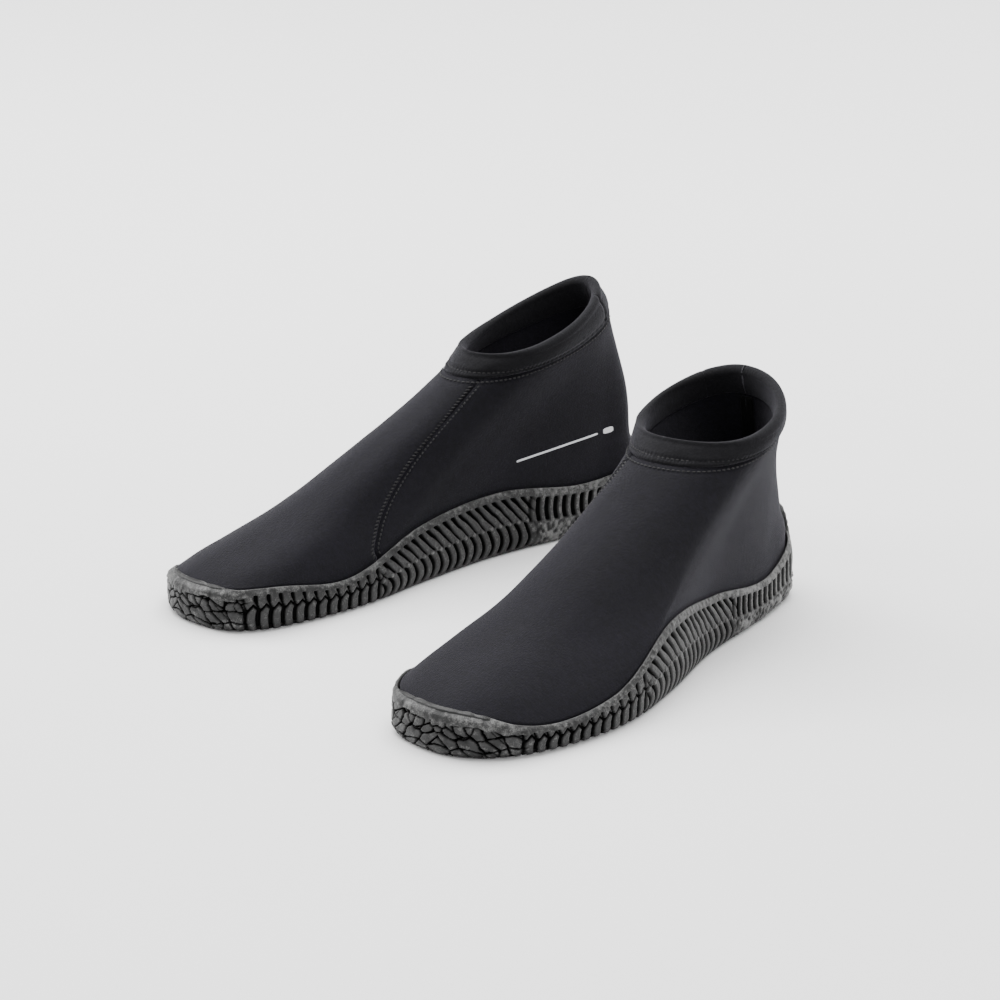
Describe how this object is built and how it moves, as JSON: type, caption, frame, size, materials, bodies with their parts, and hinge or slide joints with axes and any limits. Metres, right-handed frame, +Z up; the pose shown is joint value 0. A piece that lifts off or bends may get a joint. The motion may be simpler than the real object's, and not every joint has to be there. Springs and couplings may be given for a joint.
{
  "type": "pair of neoprene water boots",
  "caption": "Pair of low-cut slip-on neoprene boots for diving and water sports, with a moulded rubber sole and side wall and a soft stretch collar.",
  "frame": {"origin": "middle of the pair's footprint, on the floor", "axes": "+Z up; toes towards -Y, heels towards +Y; the right-foot boot stands at +X and the left-foot boot at -X"},
  "size_m": [0.2986, 0.3235, 0.1335],
  "materials": {
    "outsole_rubber": "matt moulded rubber",
    "rand_rubber": "satin moulded rubber with raised ribs",
    "neoprene": "matt jersey-faced neoprene",
    "binding": "matt stretch binding",
    "lining": "matt knitted lining",
    "thread": "sewing thread",
    "mark_print": "pale heat-set transfer film"
  },
  "bodies": {
    "right_boot": {"right_outsole": "outsole_rubber", "right_rand": "rand_rubber", "right_heel_strap_stop": "rand_rubber", "right_bottom_sock": "lining", "right_footbed": "lining", "right_vamp_panel": "neoprene", "right_quarter_panel": "neoprene", "right_collar_binding": "binding", "right_collar_stitch_upper": "thread", "right_collar_stitch_lower": "thread", "right_side_seam_stitch_front": "thread", "right_side_seam_stitch_rear": "thread", "right_side_seam_tape": "lining", "right_heel_seam_stitch": "thread", "right_heel_seam_tape": "lining", "right_side_mark": "mark_print"},
    "left_boot": {"left_outsole": "outsole_rubber", "left_rand": "rand_rubber", "left_heel_strap_stop": "rand_rubber", "left_bottom_sock": "lining", "left_footbed": "lining", "left_vamp_panel": "neoprene", "left_quarter_panel": "neoprene", "left_collar_binding": "binding", "left_collar_stitch_upper": "thread", "left_collar_stitch_lower": "thread", "left_side_seam_stitch_front": "thread", "left_side_seam_stitch_rear": "thread", "left_side_seam_tape": "lining", "left_heel_seam_stitch": "thread", "left_heel_seam_tape": "lining", "left_side_mark": "mark_print"}
  },
  "joints": [
    {"name": "left_boot_lift", "type": "slide", "parent": "right_boot", "child": "left_boot", "axis": [0, 0, 1], "range_m": [0, 0.2]}
  ]
}
